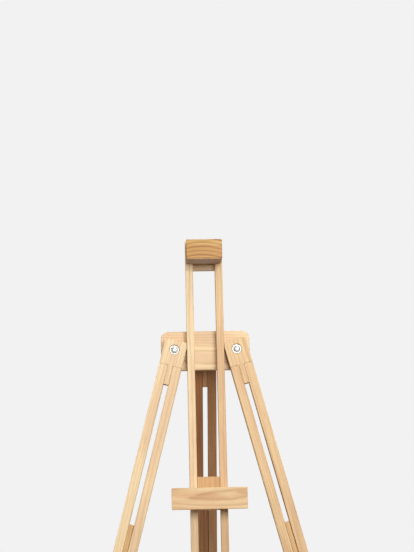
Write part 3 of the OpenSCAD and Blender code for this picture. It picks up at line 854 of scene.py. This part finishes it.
def leather_pad(leather):
    """The holder's pad: flat on the block, its edge curled in and its face crowned by padding."""
    centre = centre_of("holder_pad")
    sizes = (span(corners("holder_pad"), centre, axis)[1] / MM for axis in (RIGHT, BACK, UP))
    half_w, half_d, half_t = sizes
    edge, curl = 0.55 * half_t, 0.5
    rings = [(0.15, half_t), (0.0, half_t - 0.2), (0.0, -0.1 * half_t), (0.12, -0.3 * half_t),
             (curl, -edge)]
    reach = half_d - 1.5
    steps = 9
    for i in range(1, steps + 1):
        rise = math.sin(math.pi / 2 * i / steps) ** 0.8
        rings.append((curl + (reach - curl) * (i / steps) ** 1.4, -edge - (half_t - edge) * rise))
    points, faces = [], []
    for inset, height in rings:
        outline = pad_outline(half_w, half_d, inset)
        points += [(x, y, height) for x, y in outline]
    count = len(outline)
    for ring in range(len(rings) - 1):
        for i in range(count):
            a, b = ring * count + i, ring * count + (i + 1) % count
            faces.append((a + count, b + count, b, a))
    last = (len(rings) - 1) * count
    faces += [tuple(range(count)), tuple(reversed(range(last, last + count)))]
    piece = new_piece("holder_leather_pad", points, faces, leather)
    shade(piece, sharp_from=50)
    put(piece, centre, UP, RIGHT)
    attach(piece, "holder")
    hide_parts("holder_pad")


def centre_line(leg):
    """A point on the leg's centre line, which is its pivot."""
    joint = JOINTS["rear_leg_fold" if leg == "rear" else f"{leg}_leg_splay"]
    return Vector(joint["pos_m"])


# ---- stage, light and camera ----


BACKDROP = 0.888
FLOOR_RADIUS = 3.4
FLOOR_SIDES = 96


def make_floor():
    """A pale floor that fades into the backdrop's own brightness well before its rim."""
    points = []
    for i in range(FLOOR_SIDES):
        angle = math.tau * i / FLOOR_SIDES
        points.append((FLOOR_RADIUS * math.cos(angle), FLOOR_RADIUS * math.sin(angle), 0))
    mesh = bpy.data.meshes.new("floor")
    mesh.from_pydata(points, [], [tuple(range(FLOOR_SIDES))])
    floor = bpy.data.objects.new("floor", mesh)
    floor.location.z = cad_box[0].z
    bpy.context.scene.collection.objects.link(floor)
    g = Graph("pale_floor")
    place = g.place()
    away = g.vector("LENGTH", place).outputs["Value"]
    tone = g.noise(place, (3.0,) * 3, 3.0).outputs["Fac"]
    pale = g.blend(tone, rgb(0.69, 0.705, 0.725), rgb(0.72, 0.735, 0.755))
    g.plug(g.shader.inputs["Base Color"], pale)
    g.shader.inputs["Roughness"].default_value = 0.75
    glow = g.add("Emission", {"Color": rgb(BACKDROP, BACKDROP, BACKDROP), "Strength": 1.0})
    fade = g.add("MixShader", {0: g.step(away, 0.9, 2.6)})
    g.plug(fade.inputs[1], g.shader.outputs[0])
    g.plug(fade.inputs[2], glow.outputs[0])
    g.plug(g.tree.nodes["Material Output"].inputs["Surface"], fade.outputs[0])
    mesh.materials.append(g.material)
    floor.visible_diffuse = False


# How bright the sky that lights the easel is, at two heights from 0, straight down, to 1, straight up.
SKY = ((0.3, 0.14), (1.0, 0.38))


def make_world():
    """A plain bright backdrop, and a softer sky that fills the shadows from above."""
    world = bpy.data.worlds.new("studio")
    bpy.context.scene.world = world
    world.use_nodes = True
    tree = world.node_tree
    backdrop = tree.nodes["Background"]
    backdrop.inputs["Color"].default_value = rgb(BACKDROP, BACKDROP, BACKDROP)
    sky = tree.nodes.new("ShaderNodeBackground")
    ramp = tree.nodes.new("ShaderNodeValToRGB")
    place = tree.nodes.new("ShaderNodeTexCoord")
    split = tree.nodes.new("ShaderNodeSeparateXYZ")
    lift = tree.nodes.new("ShaderNodeMath")
    lift.operation = "MULTIPLY_ADD"
    lift.inputs[1].default_value = 0.5
    lift.inputs[2].default_value = 0.5
    path = tree.nodes.new("ShaderNodeLightPath")
    choose = tree.nodes.new("ShaderNodeMixShader")
    tree.links.new(place.outputs["Generated"], split.inputs[0])
    tree.links.new(split.outputs["Z"], lift.inputs[0])
    tree.links.new(lift.outputs[0], ramp.inputs[0])
    for element, (height, level) in zip(ramp.color_ramp.elements, SKY):
        element.position = height
        element.color = rgb(level, level * 0.89, level * 0.76)
    tree.links.new(ramp.outputs[0], sky.inputs["Color"])
    tree.links.new(path.outputs["Is Camera Ray"], choose.inputs[0])
    tree.links.new(sky.outputs[0], choose.inputs[1])
    tree.links.new(backdrop.outputs[0], choose.inputs[2])
    tree.links.new(choose.outputs[0], tree.nodes["World Output"].inputs["Surface"])


def softbox(name, place, aim, size, power, mirrored=True):
    """A soft light. One that isn't mirrored leaves no glare on polished steel."""
    light = bpy.data.lights.new(name, "AREA")
    light.shape = "RECTANGLE"
    light.size, light.size_y = size
    light.energy = power
    lamp = bpy.data.objects.new(name, light)
    lamp.location = place
    lamp.visible_glossy = mirrored
    lamp.rotation_euler = (Vector(aim) - Vector(place)).to_track_quat("-Z", "Y").to_euler()
    bpy.context.scene.collection.objects.link(lamp)


def make_light():
    softbox("key", (0.6, -2.9, 2.1), (0, 0, 0.9), (1.3, 1.3), 75)
    softbox("top", (0.3, -0.8, 3.3), (0, 0, 0.9), (1.4, 1.4), 24)
    softbox("fill", (-2.6, -1.6, 1.7), (0, 0, 0.9), (1.6, 1.6), 13)
    softbox("right", (3.1, 0.5, 1.9), (0, 0, 0.8), (1.6, 1.6), 34)
    softbox("left", (-3.1, 0.3, 1.9), (0, 0, 0.8), (1.6, 1.6), 26)
    softbox("rear", (0.4, 3.0, 2.3), (0, 0, 0.8), (2.6, 2.2), 98, mirrored=False)


CAMERA_PLACE = (-0.0865, -3.0, 1.266)
LENS = 102
CAMERA_TURN = math.radians(-1.82)
CAMERA_ROLL = math.radians(-1.0)


def make_camera():
    """Looks level from just below the mast's top, a little to its left, slightly turned and rolled."""
    data = bpy.data.cameras.new("camera")
    data.lens = LENS
    data.sensor_width = 36
    camera = bpy.data.objects.new("camera", data)
    camera.location = CAMERA_PLACE
    look = Euler((math.radians(90), 0, CAMERA_TURN)).to_matrix()
    roll = Euler((0, 0, CAMERA_ROLL)).to_matrix()
    camera.rotation_euler = (look @ roll).to_euler()
    bpy.context.scene.collection.objects.link(camera)
    bpy.context.scene.camera = camera


def main():
    steel = zinc_steel("zinc_plated_steel")
    dress_mast()
    dress_leg("left", ("outer", "inner"), 40, (LEG, LEG), BAR)
    dress_leg("right", ("outer", "inner"), -34, (WARM, WARM), BAR)
    # The rear leg takes the darker copies of the beech as painted shade; its left strip and its bar
    # take the darkest one, a painted shadow of the mast's rail.
    dress_leg("rear", ("left", "right"), 28, (SHADED_REAR_BAR, SHADED_REAR), SHADED_REAR_BAR)
    dress_shelf()
    dress_holder()
    dress_steel(steel)
    leather_pad(tanned_leather("pad_leather_skin"))
    make_hardware(steel)
    foot_rubber = moulded_rubber("foot_rubber_skin", cad_box[0].z)
    for leg in LEG_DOWN:
        rubber_foot(leg, foot_rubber)
    make_floor()
    make_world()
    make_light()
    make_camera()
    bpy.context.scene.view_settings.view_transform = "Standard"


main()
